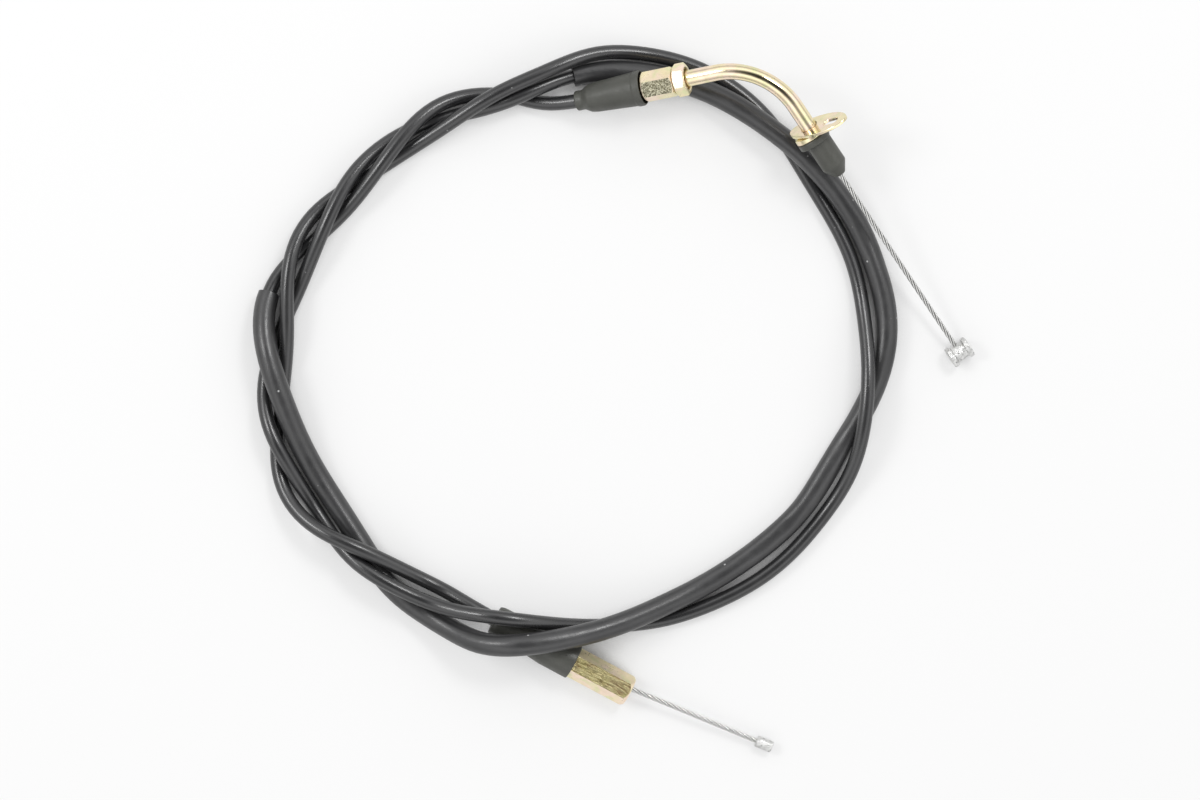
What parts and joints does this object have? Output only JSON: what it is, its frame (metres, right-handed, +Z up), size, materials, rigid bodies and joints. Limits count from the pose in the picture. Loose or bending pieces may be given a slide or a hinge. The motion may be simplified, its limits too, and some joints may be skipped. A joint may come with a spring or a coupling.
{
  "type": "throttle cable",
  "caption": "Control cable with a coiled black conduit and sleeve, a bent pipe end with plate and barrel nipple, and a straight hexagonal end with a drum nipple.",
  "frame": {"origin": "bottom centre of the box of the end fittings and bare wires, on the table plane they rest on", "axes": "+Z up from the table, +Y towards the elbow end, +X towards the barrel nipple"},
  "size_m": [0.2663, 0.2625, 0.0361],
  "materials": {
    "zinc_gold": "yellow zinc plating",
    "bright_steel": "bright zinc plating",
    "dark_steel": "plain spring steel",
    "black_jacket": "semi-gloss extruded plastic",
    "charcoal_sleeve": "matte soft plastic tube",
    "olive_rubber": "moulded rubber",
    "white_liner": "smooth liner plastic"
  },
  "bodies": {
    "conduit": {"conduit_jacket": "black_jacket", "conduit_winding": "dark_steel", "conduit_liner": "white_liner", "inner_wire": "bright_steel", "protective_sleeve": "charcoal_sleeve", "upper_boot": "olive_rubber", "upper_end_cap": "zinc_gold", "lower_boot": "olive_rubber", "lower_end_cap": "zinc_gold", "lower_hex": "zinc_gold"},
    "adjuster": {"adjuster_body": "zinc_gold"},
    "nut": {"lock_nut": "zinc_gold"},
    "elbow": {"elbow_pipe": "zinc_gold", "elbow_liner": "white_liner", "elbow_wire": "bright_steel", "retaining_plate": "zinc_gold", "plate_collar": "zinc_gold", "pipe_seal": "olive_rubber"},
    "upper_pull": {"upper_wire": "bright_steel", "barrel_nipple": "bright_steel"},
    "lower_pull": {"lower_wire": "bright_steel", "lower_nipple": "bright_steel"}
  },
  "joints": [
    {"name": "adjuster_turn", "type": "hinge", "parent": "conduit", "child": "adjuster", "pos_m": [-0.01651, 0.12096, 0.0208], "axis": [0.9354, 0.1717, 0.309], "continuous": true},
    {"name": "lock_nut_turn", "type": "hinge", "parent": "conduit", "child": "nut", "pos_m": [-0.01651, 0.12096, 0.0208], "axis": [0.9354, 0.1717, 0.309], "continuous": true},
    {"name": "elbow_swivel", "type": "hinge", "parent": "conduit", "child": "elbow", "pos_m": [-0.01651, 0.12096, 0.0208], "axis": [-0.9354, -0.1717, -0.309], "range_deg": [0, 120]},
    {"name": "upper_wire_pull", "type": "slide", "parent": "elbow", "child": "upper_pull", "axis": [0.5519, -0.803, -0.225], "range_m": [0, 0.028]},
    {"name": "lower_wire_pull", "type": "slide", "parent": "conduit", "child": "lower_pull", "axis": [0.9213, -0.385, -0.0548], "range_m": [-0.028, 0]}
  ],
  "couplings": [
    {"joint": "lower_wire_pull", "follows": "upper_wire_pull", "ratio": -1}
  ]
}
